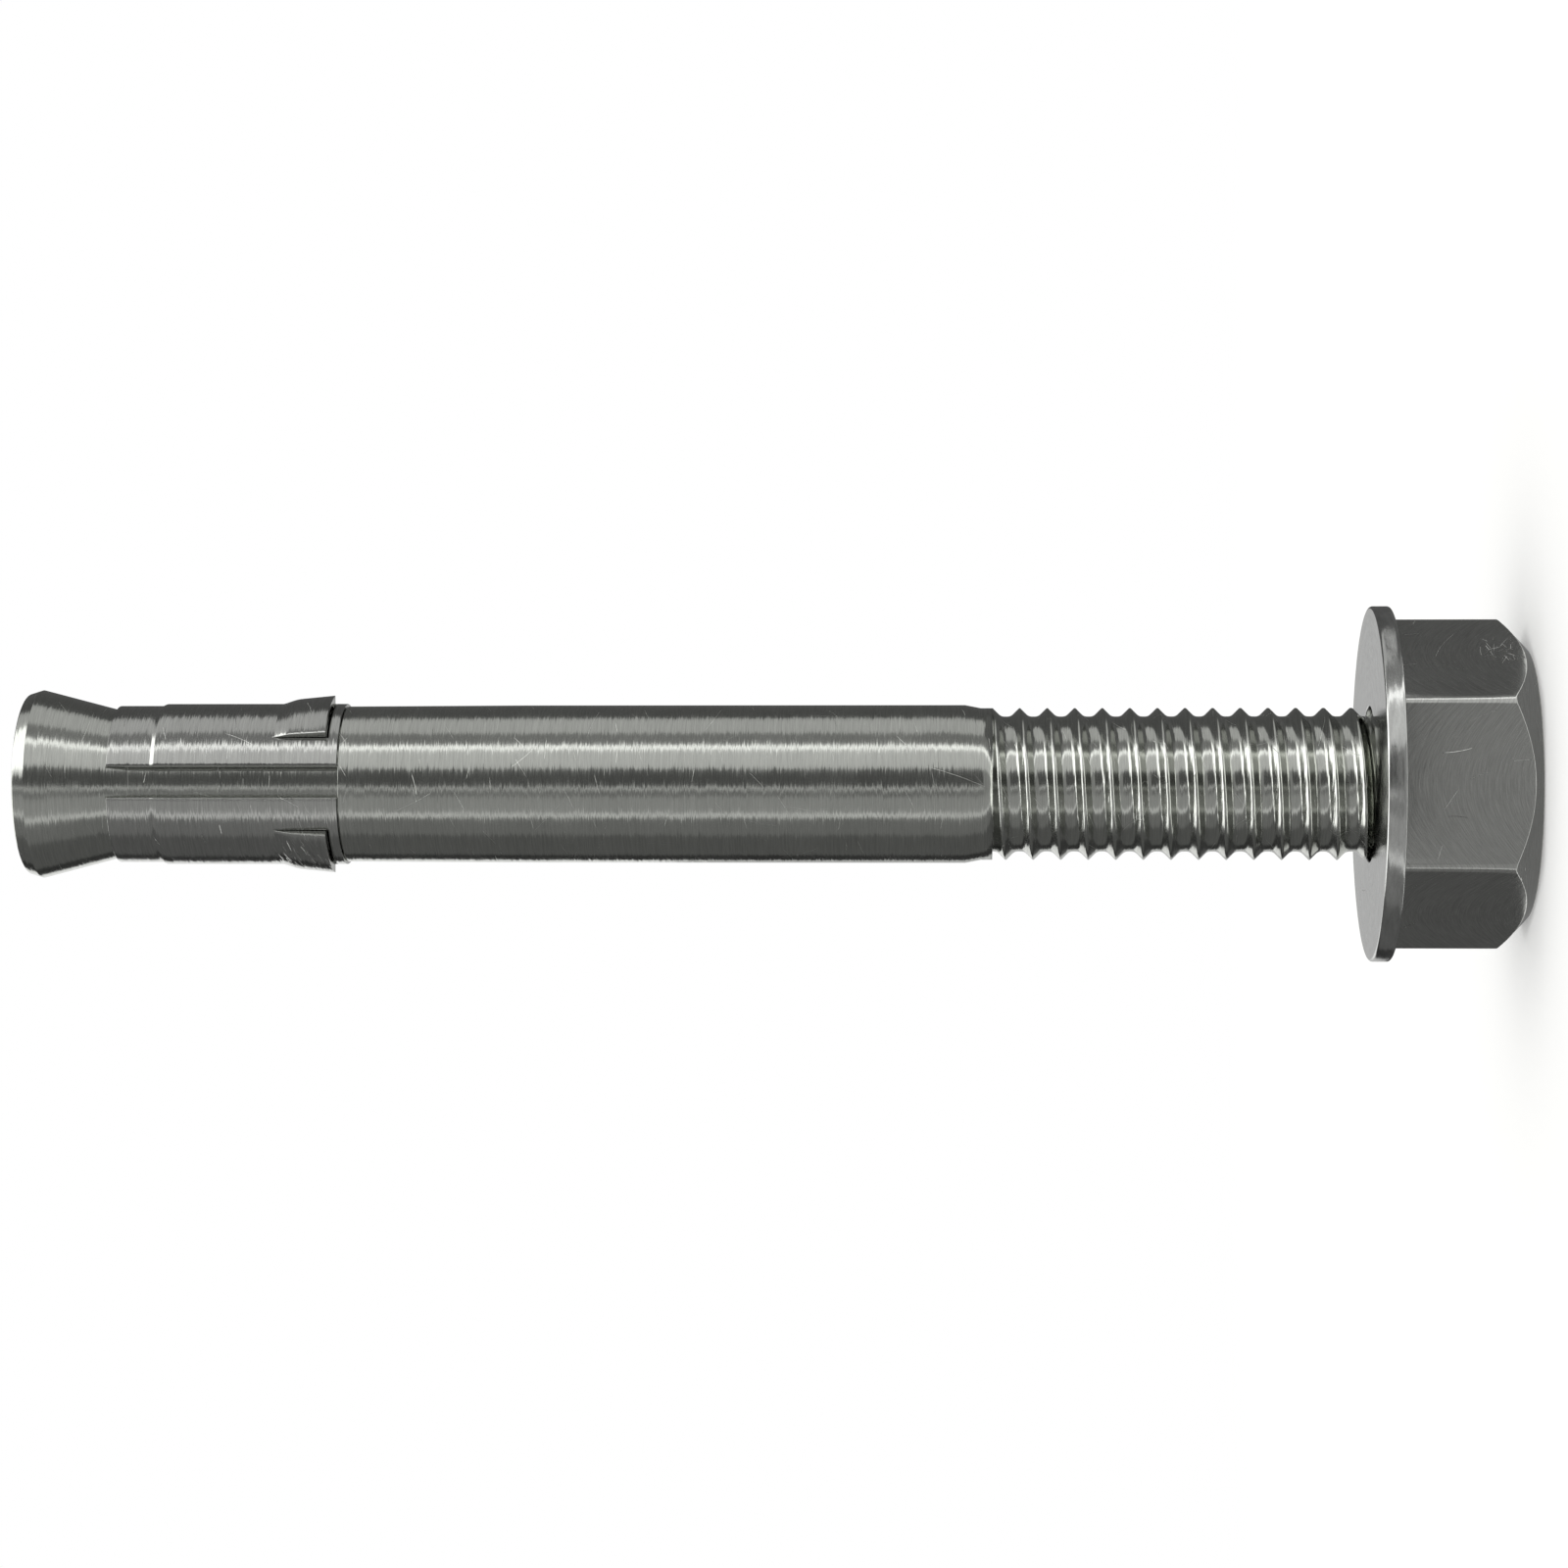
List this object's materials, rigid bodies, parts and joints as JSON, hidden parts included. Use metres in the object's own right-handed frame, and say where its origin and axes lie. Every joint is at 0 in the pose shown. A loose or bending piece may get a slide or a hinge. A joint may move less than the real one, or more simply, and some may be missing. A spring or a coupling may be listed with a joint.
{
  "type": "nail anchor",
  "caption": "Steel masonry anchor: a stud with a cone end, a slotted expansion sleeve with bent-out tabs, a threaded end, a flat washer and a hexagon nut.",
  "frame": {"origin": "centre of the nut's outer face, on the axis of the stud", "axes": "+Z along the stud from the nut to the cone; -Y out through the slot of the sleeve, midway between two of its three tabs"},
  "size_m": [0.012, 0.012, 0.0508],
  "materials": {
    "stud_steel": "cold-formed stainless steel, drawn and turned, with fine marks round the axis",
    "sleeve_steel": "rolled stainless strip, finely brushed round the axis, with bright cut edges",
    "washer_steel": "stamped stainless steel, satin faces and a bright tumbled rim",
    "nut_steel": "machined stainless steel, with curved facing marks and scratches on its flats"
  },
  "bodies": {
    "stud": {"cone_bolt": "stud_steel"},
    "sleeve": {"expansion_sleeve": "sleeve_steel"},
    "washer": {"washer": "washer_steel"},
    "nut": {"hex_nut": "nut_steel"}
  },
  "joints": [
    {"name": "washer_travel", "type": "slide", "parent": "stud", "child": "washer", "axis": [0, 0, 1], "range_m": [-0.00465, 0.01302]},
    {"name": "nut_turn", "type": "hinge", "parent": "washer", "child": "nut", "pos_m": [0, 0, 0], "axis": [0, 0, 1], "range_deg": [-1800, 5040]},
    {"name": "sleeve_turn", "type": "hinge", "parent": "stud", "child": "sleeve", "pos_m": [0, 0, 0.0438], "axis": [0, 0, 1], "continuous": true}
  ],
  "couplings": [
    {"joint": "nut_turn", "follows": "washer_travel", "rad_per_m": 6756.1}
  ]
}
